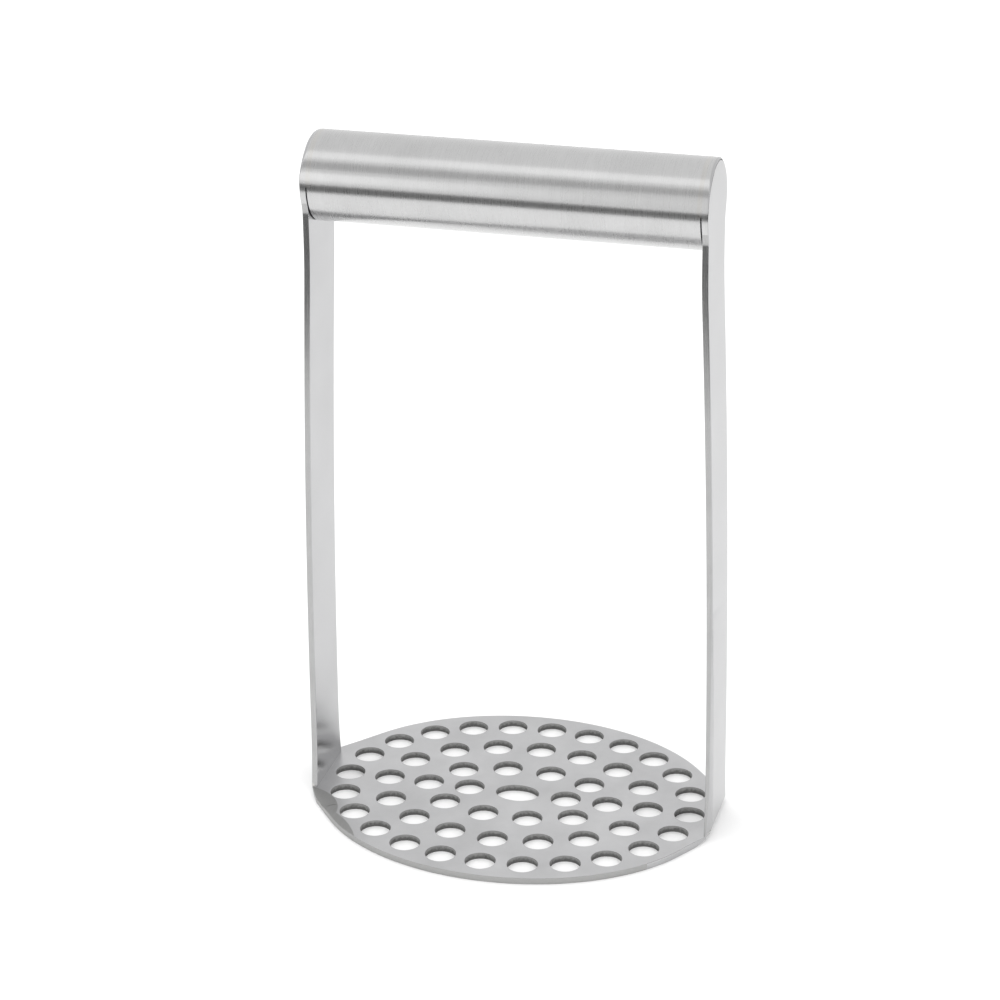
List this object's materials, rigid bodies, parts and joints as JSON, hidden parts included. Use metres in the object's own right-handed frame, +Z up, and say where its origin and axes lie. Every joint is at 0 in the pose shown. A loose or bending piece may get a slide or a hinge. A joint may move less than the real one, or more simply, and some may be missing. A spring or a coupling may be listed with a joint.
{
  "type": "potato masher",
  "caption": "Rigid stainless steel potato masher: flat perforated oval plate, two flat side arms and a round tube across the top as handle.",
  "frame": {"origin": "middle of the mashing plate's underside, at the centre of the footprint", "axes": "+Z up, from the plate to the handle; +X along the handle tube, to the right; +Y from front to back"},
  "size_m": [0.12, 0.096, 0.2],
  "materials": {
    "plate_steel": "even satin, tumbled after punching",
    "arm_steel": "fine satin, brushed along the arm",
    "handle_steel": "satin, brushed round the tube",
    "weld_steel": "weld ground flush, faint straw heat tint"
  },
  "bodies": {
    "root": {"mashing_plate": "plate_steel", "left_arm": "arm_steel", "right_arm": "arm_steel", "handle_tube": "handle_steel", "left_foot_weld": "weld_steel", "right_foot_weld": "weld_steel", "left_head_weld": "weld_steel", "right_head_weld": "weld_steel"}
  },
  "joints": []
}
